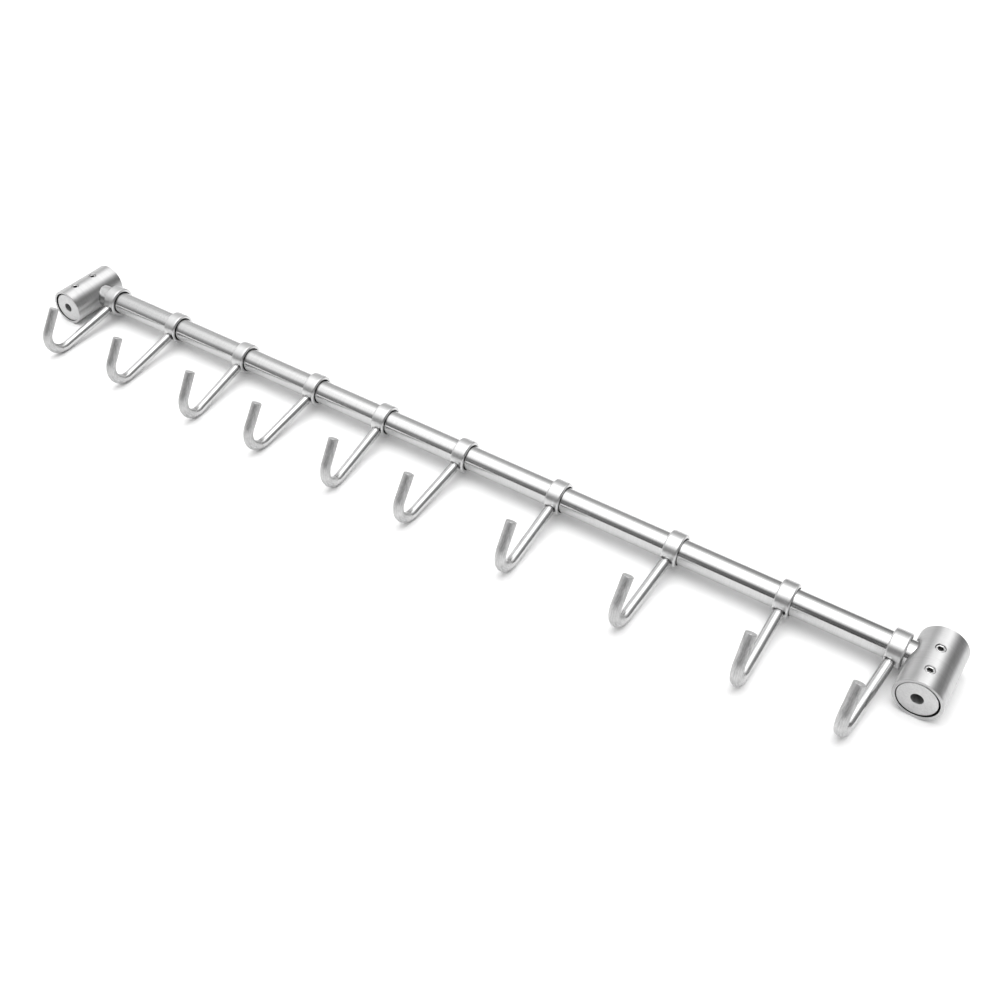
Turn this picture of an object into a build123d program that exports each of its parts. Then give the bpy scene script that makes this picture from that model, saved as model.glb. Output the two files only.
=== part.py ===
from build123d import *
from math import asin, atan2, cos, degrees, hypot, radians, sin, tan
import os

# Wall coat rack: a round rail between two turned brackets, with ten loose wire hooks.
# X runs along the rail. The wall is the plane Y = 0 and the brackets stand out from it along +Y.
# The origin is midway between the two wall screws, at the height of the rail's axis.

# Rail
bracket_spacing = 480.0
rail_diameter = 12.0
rail_wall = 1.0
rail_end_chamfer = 0.4
rail_past_bracket_axis = 4.0

# Brackets, turned from round bar
bracket_diameter = 20.0
bracket_length = 34.0
bracket_outer_chamfer = 0.4
bracket_rim_chamfer = 0.25
rail_axis_from_wall = 21.5
rail_bore_clearance = 0.1
rail_bore_end_gap = 0.4
pocket_rim = 1.35
pocket_depth = 13.6

# Wall plugs, each held in the wall end of a bracket
plug_side_clearance = 0.25
plug_recess = 0.5
plug_length = 12.0
plug_chamfer = 0.3
wall_screw_hole = 5.0
screw_head_diameter = 9.6
screw_head_depth = 5.0
plug_screw_from_wall = 8.3

# Set screws, one on the rail and one on the wall plug in each bracket
set_screw_diameter = 4.0
plug_screw_length = 3.6
rail_screw_clearance = 0.1
set_screw_recess = 0.3
set_screw_tip_flat = 2.0
set_screw_top_chamfer = 0.2
hex_across_flats = 2.0
hex_depth = 1.8
thread_clearance = 0.05
thread_countersink = 0.35
groove_clearance = 0.1

# Hooks: a loose collar on the rail with a bent wire welded to it
hook_count = 10
collar_wall = 1.75
collar_width = 7.0
collar_running_clearance = 0.25
collar_outer_chamfer = 0.6
collar_bore_chamfer = 0.3
wire_diameter = 5.0
wire_leg = 40.5
wire_bend_radius = 10.0
wire_bend_angle = 132.0
wire_tip = 12.7
wire_tip_chamfer = 0.4
weld_neck_diameter = 3.8
weld_neck_length = 0.5
weld_gap = 0.15
lying_gap = 0.05

# Where the hooks stand: the free rail beside the first and last collar, then how far each hook
# has been pushed along from even spacing, and how far its wire leans from square to the rail
first_hook_gap = 5.5
last_hook_gap = 1.2
hook_drifts = (0.0, -2.6, -2.7, -3.8, -9.4, -11.5, -9.0, 0.4, 2.3, 0.0)
hook_leans = (-0.5, 1.5, 4.0, -1.5, 3.0, -2.5, 0.5, -3.0, 0.0, -5.5)

# Sizes of the brackets, plugs and screws that follow from those above
bracket_radius = bracket_diameter / 2
rail_radius = rail_diameter / 2
rail_half_length = bracket_spacing / 2 + rail_past_bracket_axis
rail_bore_radius = rail_radius + rail_bore_clearance
rail_bore_end = rail_half_length + rail_bore_end_gap
rail_bore_mouth = bracket_spacing / 2 - bracket_radius
pocket_radius = bracket_radius - pocket_rim
plug_radius = pocket_radius - plug_side_clearance
plug_back = plug_recess + plug_length
screw_radius = set_screw_diameter / 2
screw_top = bracket_radius - set_screw_recess
plug_screw_tip = screw_top - plug_screw_length
rail_screw_tip = rail_radius + rail_screw_clearance
tip_taper = (set_screw_diameter - set_screw_tip_flat) / 2
thread_radius = screw_radius + thread_clearance
groove_radius = plug_screw_tip - groove_clearance
groove_floor = set_screw_tip_flat / 2 + groove_clearance
groove_mouth = groove_floor + plug_radius - groove_radius

# Sizes of the hooks that follow from those above
collar_bore_radius = rail_radius + collar_running_clearance
collar_radius = collar_bore_radius + collar_wall
wire_radius = wire_diameter / 2
wire_start = collar_radius + weld_neck_length
bend_reach = wire_bend_radius * tan(radians(wire_bend_angle / 2))
first_hook = -rail_bore_mouth + first_hook_gap + collar_width / 2
last_hook = rail_bore_mouth - last_hook_gap - collar_width / 2
hook_pitch = (last_hook - first_hook) / (hook_count - 1)

# Each hook lies with its bend on the surface that the brackets lie on, which slopes its leg
bend_drop = bracket_radius - lying_gap - wire_bend_radius - wire_radius
leg_slope = degrees(asin(bend_drop / hypot(wire_leg, wire_bend_radius)) + atan2(wire_bend_radius, wire_leg))
leg_direction = Vector(1, 0).rotate(Axis.Z, -leg_slope)
tip_direction = leg_direction.rotate(Axis.Z, wire_bend_angle)
bend_corner = leg_direction * (wire_leg + bend_reach)
tip_end = bend_corner + tip_direction * (bend_reach + wire_tip)
wire_corners = (leg_direction * wire_start, bend_corner, tip_end)

bracket_places = {"left": -bracket_spacing / 2, "right": bracket_spacing / 2}
set_screw_places = {"plug": plug_screw_from_wall, "rail": rail_axis_from_wall}
set_screw_tips = {"plug": plug_screw_tip, "rail": rail_screw_tip}

os.makedirs("parts", exist_ok=True)

# Rail: a straight tube that ends inside both brackets
with BuildPart() as rail_tube:
    with BuildSketch(Plane.YZ.offset(-rail_half_length)):
        with Locations((rail_axis_from_wall, 0)):
            Circle(rail_radius)
            Circle(rail_radius - rail_wall, mode=Mode.SUBTRACT)
    extrude(amount=2 * rail_half_length)
    rail_end_edges = rail_tube.edges().filter_by(GeomType.CIRCLE).sort_by(SortBy.RADIUS)
    chamfer(rail_end_edges[-2:], rail_end_chamfer)
rail_tube.part.label = "rail_tube"
export_step(rail_tube.part, "parts/rail_tube.step")

for side, bracket_x in bracket_places.items():
    # Turned pieces: local x is the radius and local y runs out from the wall
    turning_plane = Plane(origin=(bracket_x, 0, 0), x_dir=(0, 0, -1), z_dir=(1, 0, 0))
    turning_axis = Axis((bracket_x, 0, 0), (0, 1, 0))

    # Bracket: closed at its outer end, with a pocket at the wall and a blind side bore for the rail
    with BuildPart() as bracket:
        with BuildSketch(turning_plane):
            with BuildLine():
                Polyline(
                    (0, pocket_depth),
                    (pocket_radius, pocket_depth),
                    (pocket_radius, 0),
                    (bracket_radius - bracket_rim_chamfer, 0),
                    (bracket_radius, bracket_rim_chamfer),
                    (bracket_radius, bracket_length - bracket_outer_chamfer),
                    (bracket_radius - bracket_outer_chamfer, bracket_length),
                    (0, bracket_length),
                    close=True,
                )
            make_face()
        revolve(axis=turning_axis)
        inward = -1 if bracket_x > 0 else 1
        with BuildSketch(Plane.YZ.offset(-inward * rail_bore_end)):
            with Locations((rail_axis_from_wall, 0)):
                Circle(rail_bore_radius)
        extrude(amount=inward * (rail_bore_end - rail_bore_mouth), mode=Mode.SUBTRACT)
        for screw_y in set_screw_places.values():
            with Locations((bracket_x, screw_y, bracket_radius)):
                Hole(radius=thread_radius, depth=bracket_radius)
                Cone(
                    bottom_radius=thread_radius,
                    top_radius=thread_radius + thread_countersink,
                    height=thread_countersink,
                    align=(Align.CENTER, Align.CENTER, Align.MAX),
                    mode=Mode.SUBTRACT,
                )
    bracket.part.label = f"{side}_bracket"
    export_step(bracket.part, f"parts/{side}_bracket.step")

    # Wall plug: a turned disc with a clear hole, a hidden seat for the wall screw's head and a
    # groove that the set screw's point drops into
    with BuildPart() as wall_plug:
        with BuildSketch(turning_plane):
            with BuildLine():
                Polyline(
                    (wall_screw_hole / 2, plug_recess),
                    (plug_radius - plug_chamfer, plug_recess),
                    (plug_radius, plug_recess + plug_chamfer),
                    (plug_radius, plug_screw_from_wall - groove_mouth),
                    (groove_radius, plug_screw_from_wall - groove_floor),
                    (groove_radius, plug_screw_from_wall + groove_floor),
                    (plug_radius, plug_screw_from_wall + groove_mouth),
                    (plug_radius, plug_back - plug_chamfer),
                    (plug_radius - plug_chamfer, plug_back),
                    (screw_head_diameter / 2, plug_back),
                    (screw_head_diameter / 2, plug_back - screw_head_depth),
                    (wall_screw_hole / 2, plug_back - screw_head_depth),
                    close=True,
                )
            make_face()
        revolve(axis=turning_axis)
    wall_plug.part.label = f"{side}_wall_plug"
    export_step(wall_plug.part, f"parts/{side}_wall_plug.step")

    # Set screws: a hexagon socket in the top and a cut-off cone for a point
    for use, screw_y in set_screw_places.items():
        screw_tip = set_screw_tips[use]
        with BuildPart() as set_screw:
            with BuildSketch(Plane(origin=(bracket_x, screw_y, 0), x_dir=(1, 0, 0), z_dir=(0, -1, 0))):
                with BuildLine():
                    Polyline(
                        (0, screw_tip),
                        (set_screw_tip_flat / 2, screw_tip),
                        (screw_radius, screw_tip + tip_taper),
                        (screw_radius, screw_top - set_screw_top_chamfer),
                        (screw_radius - set_screw_top_chamfer, screw_top),
                        (0, screw_top),
                        close=True,
                    )
                make_face()
            revolve(axis=Axis((bracket_x, screw_y, 0), (0, 0, 1)))
            with BuildSketch(Plane.XY.offset(screw_top)):
                with Locations((bracket_x, screw_y)):
                    RegularPolygon(hex_across_flats / 2, 6, major_radius=False)
            extrude(amount=-hex_depth, mode=Mode.SUBTRACT)
        set_screw.part.label = f"{side}_{use}_set_screw"
        export_step(set_screw.part, f"parts/{side}_{use}_set_screw.step")

for index in range(hook_count):
    hook_x = first_hook + index * hook_pitch + hook_drifts[index]

    # Collar: a plain ring that slides and turns on the rail
    with BuildPart() as collar:
        with BuildSketch(Plane.YZ.offset(hook_x - collar_width / 2)):
            with Locations((rail_axis_from_wall, 0)):
                Circle(collar_radius)
                Circle(collar_bore_radius, mode=Mode.SUBTRACT)
        extrude(amount=collar_width)
        collar_edges = collar.edges().filter_by(GeomType.CIRCLE).sort_by(SortBy.RADIUS)
        chamfer(collar_edges[-2:], collar_outer_chamfer)
        chamfer(collar_edges[:2], collar_bore_chamfer)
    collar.part.label = f"collar_{index + 1:02d}"
    export_step(collar.part, f"parts/collar_{index + 1:02d}.step")

    # Wire: leg, bend and tip in one plane through the collar's centre, with a thin neck at the weld
    lean = radians(hook_leans[index])
    wire_plane = Plane(
        origin=(hook_x, rail_axis_from_wall, 0),
        x_dir=(sin(lean), -cos(lean), 0),
        z_dir=(-cos(lean), -sin(lean), 0),
    )
    with BuildPart() as wire_hook:
        with BuildLine() as route:
            placed_corners = [wire_plane.from_local_coords(corner) for corner in wire_corners]
            FilletPolyline(placed_corners, radius=wire_bend_radius)
        wire_start_plane = Plane(origin=route.line @ 0, z_dir=route.line % 0)
        with BuildSketch(wire_start_plane):
            Circle(wire_radius)
        sweep(path=route.line)
        wire_ends = wire_hook.faces().filter_by(GeomType.PLANE).sort_by(Axis.Z)
        chamfer(wire_ends[-1].edges(), wire_tip_chamfer)
        chamfer(wire_ends[0].edges(), wire_radius - weld_neck_diameter / 2)
        with BuildSketch(wire_start_plane):
            Circle(weld_neck_diameter / 2)
        extrude(amount=-collar_radius / 2)
        with BuildSketch(Plane.YZ.offset(hook_x - collar_width)):
            with Locations((rail_axis_from_wall, 0)):
                Circle(collar_radius + weld_gap)
        extrude(amount=2 * collar_width, mode=Mode.SUBTRACT)
    wire_hook.part.label = f"hook_{index + 1:02d}"
    export_step(wire_hook.part, f"parts/hook_{index + 1:02d}.step")
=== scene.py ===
"""Looks of the wall coat rack: satin stainless steel on a pale floor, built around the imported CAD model."""

from __future__ import annotations

import logging
import math
from collections.abc import Callable, Iterator, Sequence
from dataclasses import dataclass, field
from enum import Enum

import bpy
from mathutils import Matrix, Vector, noise

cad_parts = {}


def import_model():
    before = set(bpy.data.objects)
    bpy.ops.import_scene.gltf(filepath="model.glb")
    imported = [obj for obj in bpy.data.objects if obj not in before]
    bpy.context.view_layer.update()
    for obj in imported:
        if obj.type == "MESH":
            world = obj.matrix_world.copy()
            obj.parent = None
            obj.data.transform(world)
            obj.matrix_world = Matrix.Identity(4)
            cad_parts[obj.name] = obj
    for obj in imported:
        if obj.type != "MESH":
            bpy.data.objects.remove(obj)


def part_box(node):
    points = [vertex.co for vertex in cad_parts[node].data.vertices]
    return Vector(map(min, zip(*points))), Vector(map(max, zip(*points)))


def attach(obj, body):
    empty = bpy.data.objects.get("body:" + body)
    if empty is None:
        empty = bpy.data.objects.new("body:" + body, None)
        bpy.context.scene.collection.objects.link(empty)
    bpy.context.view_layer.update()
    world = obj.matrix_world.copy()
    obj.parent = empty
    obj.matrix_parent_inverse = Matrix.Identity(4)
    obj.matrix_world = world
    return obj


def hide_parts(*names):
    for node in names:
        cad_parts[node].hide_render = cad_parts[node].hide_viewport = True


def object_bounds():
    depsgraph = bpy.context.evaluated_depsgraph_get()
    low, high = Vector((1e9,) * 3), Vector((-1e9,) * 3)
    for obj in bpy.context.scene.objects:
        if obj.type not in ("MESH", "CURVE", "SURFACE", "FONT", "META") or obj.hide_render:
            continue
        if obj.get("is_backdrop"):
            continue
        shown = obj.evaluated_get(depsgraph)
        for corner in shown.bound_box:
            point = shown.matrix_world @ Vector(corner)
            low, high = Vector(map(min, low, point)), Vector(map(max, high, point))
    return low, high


log = logging.getLogger("wall_coat_rack")

MM = 0.001
UV_NAME = "surface"
# A length in metres that counts as nothing
TINY = 1e-9

# Faces once round a bore's cutter, the smaller cutters and a weld's bead
BORE_TURNS = 96
CUTTER_TURNS = 64
WELD_TURNS = 48
# How far the cutters of a tapped hole and of a collar's seat reach past what they cut
TAP_REACH = 2 * MM
SEAT_REACH = 3 * MM
# Slack for telling whether a face lies on a surface or past it
SURFACE_SLACK = 0.05 * MM
# Share of a socket's corner radius inside which its walls lie
WALL_SHARE = 0.99
# How far a weld's foot reaches into its collar's seat
FUSED_DEPTH = 0.1 * MM

# Share of a finish's unevenness that its fine lines make, the rest being faint patches
LINE_SHARE = 0.7
# Between these two values nearly all of a noise pattern lies
NOISE_RANGE = (0.3, 0.7)
# How finely broken the lines and the patches are
LINE_NOISE = {"Detail": 3.0, "Roughness": 0.65}
PATCH_NOISE = {"Detail": 3.0, "Roughness": 0.6}
# Step in the noise from hook to hook, so that no two welds look alike
WELD_STEP = 3.7
# Turn of the highlight's stretch that takes it from across the lines to along them
QUARTER_TURN = 0.25


class Side(Enum):
    """The two ends of the rack, with the direction from the bracket towards the rail."""

    LEFT = 1
    RIGHT = -1

    @property
    def label(self) -> str:
        """The word that the CAD nodes of this side start with."""
        return self.name.lower()


class Grain(Enum):
    """Which way the fine lines of a finish run on a turned or drawn surface."""

    ROUND = "round"
    ALONG = "along"
    CLOUDED = "clouded"


def linear(colour: str) -> tuple[float, float, float, float]:
    """Turns an sRGB hex colour into the linear one that Blender's nodes take.

    Args:
        colour: the colour as "#rrggbb".

    Returns:
        Linear red, green, blue and an alpha of one.
    """
    parts = [int(colour[i : i + 2], 16) / 255 for i in (1, 3, 5)]
    red, green, blue = (p / 12.92 if p <= 0.04045 else ((p + 0.055) / 1.055) ** 2.4 for p in parts)
    return red, green, blue, 1.0


def add_node(tree: bpy.types.NodeTree, kind: str, links: dict | None = None, **settings) -> bpy.types.Node:
    """Adds one node to a node tree.

    Args:
        tree: the tree that gets the node.
        kind: the node's type name after "ShaderNode".
        links: what feeds each input, by the input's name or number: a plain value, an output socket, or a
            node, which stands for its first output.
        settings: attributes set on the node itself.

    Returns:
        The new node.
    """
    node = tree.nodes.new(f"ShaderNode{kind}")
    for key, value in settings.items():
        setattr(node, key, value)
    for key, value in (links or {}).items():
        if isinstance(value, bpy.types.Node):
            value = value.outputs[0]
        if isinstance(value, bpy.types.NodeSocket):
            tree.links.new(value, node.inputs[key])
        else:
            node.inputs[key].default_value = value
    return node


@dataclass(frozen=True)
class Fade:
    """A smooth change from one level to another.

    Attributes:
        start: where the change starts.
        end: where it ends.
        low: level at the start and before it.
        high: level at the end and past it.
    """

    start: float
    end: float
    low: float = 0.0
    high: float = 1.0

    def over(self, tree: bpy.types.NodeTree, value: bpy.types.NodeSocket | bpy.types.Node) -> bpy.types.Node:
        """Adds the node that makes this change as a value runs from the start to the end.

        Args:
            tree: the tree that gets the node.
            value: what the change goes by.

        Returns:
            The new node.
        """
        levels = {"From Min": self.start, "From Max": self.end, "To Min": self.low, "To Max": self.high}
        return add_node(tree, "MapRange", {"Value": value, **levels}, interpolation_type="SMOOTHSTEP")


# Outlines and the meshes swept from them


@dataclass(frozen=True)
class Corner:
    """A corner of an outline.

    Attributes:
        radius: distance from the centre line, in metres.
        along: distance along the centre line, in metres.
        rounding: radius of the arc that softens the corner, in metres.
    """

    radius: float
    along: float
    rounding: float = 0.0


@dataclass(frozen=True)
class Stretch:
    """A short straight step of an outline with the surface normals at its two ends.

    Attributes:
        start: radius and distance along, where the step starts.
        end: radius and distance along, where it ends.
        start_normal: outward normal at the start, as radial and along parts.
        end_normal: outward normal at the end.
    """

    start: tuple[float, float]
    end: tuple[float, float]
    start_normal: tuple[float, float]
    end_normal: tuple[float, float]


@dataclass(frozen=True)
class Outline:
    """A profile that is swept round a centre line. Its corners may run either way round.

    Attributes:
        corners: the corners in order.
        closed: whether the last corner joins the first.
        arc_steps: how many steps a rounded corner is drawn with.
    """

    corners: tuple[Corner, ...]
    closed: bool = False
    arc_steps: int = 5

    def stretches(self) -> list[Stretch]:
        """Works out the straight and rounded steps of the outline.

        Returns:
            The steps in order, each with its exact normals.
        """
        count = len(self.corners)
        pairs = zip(self.corners, (*self.corners[1:], self.corners[0]))
        hand = -1 if sum(a.radius * b.along - b.radius * a.along for a, b in pairs) > 0 else 1
        arcs: list[list[tuple[tuple[float, float], tuple[float, float] | None]]] = []
        for index, corner in enumerate(self.corners):
            here = Vector((corner.radius, corner.along))
            ends = not self.closed and index in (0, count - 1)
            if ends or corner.rounding <= 0:
                arcs.append([((here.x, here.y), None)])
                continue
            before = self.corners[index - 1]
            after = self.corners[(index + 1) % count]
            neighbours = Vector((before.radius, before.along)), Vector((after.radius, after.along))
            arcs.append(self._arc(here, *neighbours, corner.rounding, hand))
        found: list[Stretch] = []
        for index, arc in enumerate(arcs):
            for (start, start_normal), (end, end_normal) in zip(arc[:-1], arc[1:]):
                found.append(Stretch(start, end, start_normal, end_normal))
            if index == count - 1 and not self.closed:
                break
            start, end = arc[-1][0], arcs[(index + 1) % count][0][0]
            normal = self._outside_of(start, end, hand)
            if math.dist(start, end) > TINY:
                found.append(Stretch(start, end, normal, normal))
        return found

    @staticmethod
    def _outside_of(start: Sequence[float], end: Sequence[float], hand: int) -> tuple[float, float]:
        """The unit normal of a step, on its left for a hand of 1 and on its right for -1."""
        step = (Vector(end) - Vector(start)).normalized() * hand
        return -step.y, step.x

    def _arc(self, here: Vector, before: Vector, after: Vector, rounding: float, hand: int) -> list:
        """Rounds one corner.

        Args:
            here: the corner.
            before: the corner before it.
            after: the corner after it.
            rounding: the arc's radius.
            hand: which side the outside is on, 1 for the left and -1 for the right.

        Returns:
            Points along the arc, each with its outward normal.
        """
        back, ahead = (before - here).normalized(), (after - here).normalized()
        half = back.angle(ahead) / 2
        reach = rounding / math.tan(half)
        centre = here + (back + ahead).normalized() * (rounding / math.sin(half))
        first, last = here + back * reach, here + ahead * reach
        from_first, from_last = first - centre, last - centre
        turn = from_first.angle_signed(from_last)
        outward = 1 if from_first.dot(Vector(self._outside_of(before, here, hand))) > 0 else -1
        points = []
        for step in range(self.arc_steps + 1):
            angle = -turn * step / self.arc_steps
            cos_angle, sin_angle = math.cos(angle), math.sin(angle)
            ray = Vector(
                (
                    from_first.x * cos_angle - from_first.y * sin_angle,
                    from_first.x * sin_angle + from_first.y * cos_angle,
                )
            )
            unit = ray.normalized() * outward
            point = centre + ray
            points.append(((point.x, point.y), (unit.x, unit.y)))
        return points


def cylinder_outline(radius: float, reach: float) -> Outline:
    """The outline of a plain cylinder that starts at zero."""
    return Outline((Corner(0, 0), Corner(radius, 0), Corner(radius, reach), Corner(0, reach)))


@dataclass(frozen=True)
class Station:
    """A place on a centre line with the directions that a ring is drawn in there."""

    point: Vector
    ahead: Vector
    side: Vector
    up: Vector


@dataclass(frozen=True)
class StraightLine:
    """A straight centre line.

    Attributes:
        start: where the distance along is zero.
        ahead: unit direction of the line.
        side: unit direction that angle zero points in.
    """

    start: Vector
    ahead: Vector
    side: Vector

    def at(self, along: float) -> Station:
        """The station at a distance along the line."""
        return Station(self.start + self.ahead * along, self.ahead, self.side, self.ahead.cross(self.side))

    def cuts(self, start: float, end: float) -> list[float]:
        """A straight run needs no stations between its ends."""
        return [start, end]


@dataclass(frozen=True)
class HookLine:
    """The centre line of a bent wire: a straight leg, a bend and a straight tip in one plane.

    Attributes:
        start: where the distance along is zero.
        ahead: unit direction of the leg.
        inward: unit direction from the leg towards the centre of the bend.
        leg: length of the leg up to the bend.
        bend_radius: radius of the bend's centre line.
        bend_angle: how far the wire turns, in radians.
        bend_steps: how many steps the bend is drawn with.
    """

    start: Vector
    ahead: Vector
    inward: Vector
    leg: float
    bend_radius: float
    bend_angle: float
    bend_steps: int = 56

    @property
    def bend_end(self) -> float:
        """The distance along at which the bend ends."""
        return self.leg + self.bend_radius * self.bend_angle

    def at(self, along: float) -> Station:
        """The station at a distance along the wire.

        Args:
            along: distance from the start, in metres.

        Returns:
            The station there.
        """
        side = self.ahead.cross(self.inward)
        if along <= self.leg:
            return Station(self.start + self.ahead * along, self.ahead, side, self.inward)
        centre = self.start + self.ahead * self.leg + self.inward * self.bend_radius
        turned = min((along - self.leg) / self.bend_radius, self.bend_angle)
        outward = self.ahead * math.sin(turned) - self.inward * math.cos(turned)
        ahead = self.ahead * math.cos(turned) + self.inward * math.sin(turned)
        point = centre + outward * self.bend_radius + ahead * max(0.0, along - self.bend_end)
        return Station(point, ahead, side, -outward)

    def cuts(self, start: float, end: float) -> list[float]:
        """Where a run along the wire needs stations.

        Args:
            start: where the run starts.
            end: where it ends.

        Returns:
            The distances from start to end, close together in the bend.
        """
        step = (self.bend_end - self.leg) / self.bend_steps
        bend = [self.leg + step * index for index in range(self.bend_steps + 1)]
        inside = [s for s in bend if min(start, end) < s < max(start, end)]
        return [start, *(inside if start < end else reversed(inside)), end]


def sweep(
    name: str,
    line: StraightLine | HookLine,
    outline: Outline,
    turns: int,
    ripple: Callable[[float, float], float] | None = None,
) -> bpy.types.Mesh:
    """Sweeps an outline round a centre line into a closed, smooth mesh.

    The mesh gets exact normals when it has no ripple, and a UV map whose first part is the distance along the
    surface in metres and whose second part is the turn round the line.

    Args:
        name: the mesh's name.
        line: the centre line.
        outline: the profile.
        turns: how many faces go once round.
        ripple: a change of radius by turn angle and distance along, for an uneven surface.

    Returns:
        The new mesh.
    """
    vertices: list[Vector] = []
    faces: list[tuple[int, ...]] = []
    normals: list[Vector] = []
    uvs: list[tuple[float, float]] = []
    rings: dict[tuple[float, float], int] = {}

    def direction(station: Station, index: float) -> Vector:
        """The unit direction away from the line at a count of faces round it."""
        angle = math.tau * index / turns
        return station.side * math.cos(angle) + station.up * math.sin(angle)

    def ring(radius: float, along: float) -> int:
        """The number of a ring's first vertex. The ring is drawn when it is first asked for."""
        key = (round(radius, 8), round(along, 8))
        if key in rings:
            return rings[key]
        rings[key] = len(vertices)
        station = line.at(along)
        if radius < TINY:
            vertices.append(station.point)
            return rings[key]
        for index in range(turns):
            bump = ripple(math.tau * index / turns, along) if ripple else 0.0
            vertices.append(station.point + direction(station, index) * (radius + bump))
        return rings[key]

    travelled = 0.0
    for stretch in outline.stretches():
        (radius_0, along_0), (radius_1, along_1) = stretch.start, stretch.end
        stops = line.cuts(along_0, along_1) if abs(along_1 - along_0) > TINY else [along_0, along_1]
        for lower, upper in zip(stops[:-1], stops[1:]):
            span = along_1 - along_0
            share_0, share_1 = 0.0, 1.0
            if abs(span) > TINY:
                share_0, share_1 = (lower - along_0) / span, (upper - along_0) / span
            start = (radius_0 + (radius_1 - radius_0) * share_0, lower)
            end = (radius_0 + (radius_1 - radius_0) * share_1, upper)
            length = math.dist(start, end)
            first, second = ring(*start), ring(*end)
            for index in range(turns):
                following = (index + 1) % turns
                corners = []
                for base, (radius, along), normal, distance in (
                    (first, start, stretch.start_normal, travelled),
                    (second, end, stretch.end_normal, travelled + length),
                ):
                    station = line.at(along)
                    pair = [(index, index), (index + 1, following)]
                    if radius < TINY:
                        pair = [(index + 0.5, 0)]
                    for turn, vertex in pair:
                        outward = direction(station, turn) * normal[0] + station.ahead * normal[1]
                        corners.append((base + vertex, outward, (distance, turn / turns)))
                if len(corners) == 4:
                    corners = [corners[0], corners[1], corners[3], corners[2]]
                elif start[0] >= TINY:
                    corners = [corners[0], corners[1], corners[2]]
                else:
                    corners = [corners[0], corners[2], corners[1]]
                points = [vertices[c[0]] for c in corners]
                flat = (points[1] - points[0]).cross(points[2] - points[0])
                if flat.dot(corners[0][1] + corners[1][1] + corners[2][1]) < 0:
                    corners.reverse()
                faces.append(tuple(c[0] for c in corners))
                normals.extend(c[1] for c in corners)
                uvs.extend(c[2] for c in corners)
            travelled += length
    mesh = bpy.data.meshes.new(name)
    mesh.from_pydata(vertices, [], faces)
    layer = mesh.uv_layers.new(name=UV_NAME)
    for loop, uv in zip(layer.data, uvs):
        loop.uv = uv
    mesh.polygons.foreach_set("use_smooth", [True] * len(faces))
    if ripple is None:
        mesh.normals_split_custom_set([n.normalized() for n in normals])
    mesh.update()
    return mesh


def part_from(mesh: bpy.types.Mesh, name: str) -> bpy.types.Object:
    """Puts a mesh into the scene as an object of that name."""
    part = bpy.data.objects.new(name, mesh)
    bpy.context.scene.collection.objects.link(part)
    return part


def dress(part: bpy.types.Object, *materials: bpy.types.Material) -> None:
    """Gives a piece its materials, in the order of its faces' numbers."""
    part.data.materials.clear()
    for material in materials:
        part.data.materials.append(material)


def darken(part: bpy.types.Object, inside: Callable[[Vector], bool]) -> None:
    """Gives a piece's inner faces its second material, which is painted shade.

    Args:
        part: the dressed piece.
        inside: says whether a face with its middle at this point is an inner one.
    """
    for face in part.data.polygons:
        face.material_index = int(inside(face.center))


def carve(part: bpy.types.Object, cutters: Sequence[bpy.types.Mesh]) -> None:
    """Cuts closed meshes out of a part.

    Args:
        part: the part that is cut.
        cutters: the meshes that are taken away.
    """
    helpers = [part_from(mesh, f"cutter_{index}") for index, mesh in enumerate(cutters)]
    for helper in helpers:
        modifier = part.modifiers.new(helper.name, "BOOLEAN")
        modifier.object, modifier.operation, modifier.solver = helper, "DIFFERENCE", "EXACT"
    graph = bpy.context.evaluated_depsgraph_get()
    whole = part.data
    part.data = bpy.data.meshes.new_from_object(part.evaluated_get(graph), depsgraph=graph)
    part.data.name = whole.name
    part.modifiers.clear()
    bpy.data.meshes.remove(whole)
    for helper in helpers:
        cut = helper.data
        bpy.data.objects.remove(helper)
        bpy.data.meshes.remove(cut)


def resurface(
    part: bpy.types.Object, line: StraightLine, walls: Sequence[tuple[StraightLine, float, bool]]
) -> None:
    """Gives a carved part its surface map again, and exact normals on its round walls.

    Args:
        part: the carved part.
        line: the centre line that the map runs round.
        walls: each round wall's centre line, its radius and whether its normals point outwards.
    """
    mesh = part.data
    mesh.polygons.foreach_set("use_smooth", [True] * len(mesh.polygons))
    mesh.set_sharp_from_angle(angle=math.radians(25))
    mesh.update()
    normals = [Vector(n.vector) for n in mesh.corner_normals]
    layer = mesh.uv_layers.get(UV_NAME) or mesh.uv_layers.new(name=UV_NAME)
    up = line.ahead.cross(line.side)
    for face in mesh.polygons:
        centre_turn = None
        for loop_index in face.loop_indices:
            point = mesh.vertices[mesh.loops[loop_index].vertex_index].co
            from_start = point - line.start
            along = from_start.dot(line.ahead)
            across = from_start - line.ahead * along
            turn = math.atan2(across.dot(up), across.dot(line.side)) / math.tau
            centre_turn = turn if centre_turn is None else centre_turn
            turn -= round(turn - centre_turn)
            flatness = 1 - abs(face.normal.dot(across.normalized()))
            layer.data[loop_index].uv = (along + across.length * flatness, turn)
        for wall, radius, outwards in walls:
            rays = []
            for loop_index in face.loop_indices:
                from_start = mesh.vertices[mesh.loops[loop_index].vertex_index].co - wall.start
                rays.append(from_start - wall.ahead * from_start.dot(wall.ahead))
            if all(abs(ray.length - radius) < 0.02 * MM for ray in rays):
                middle = sum((ray.normalized() for ray in rays), Vector())
                if abs(face.normal.dot(middle.normalized())) > 0.9:
                    for loop_index, ray in zip(face.loop_indices, rays):
                        normals[loop_index] = ray.normalized() * (1 if outwards else -1)
    mesh.normals_split_custom_set(normals)


# Finishes


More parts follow.
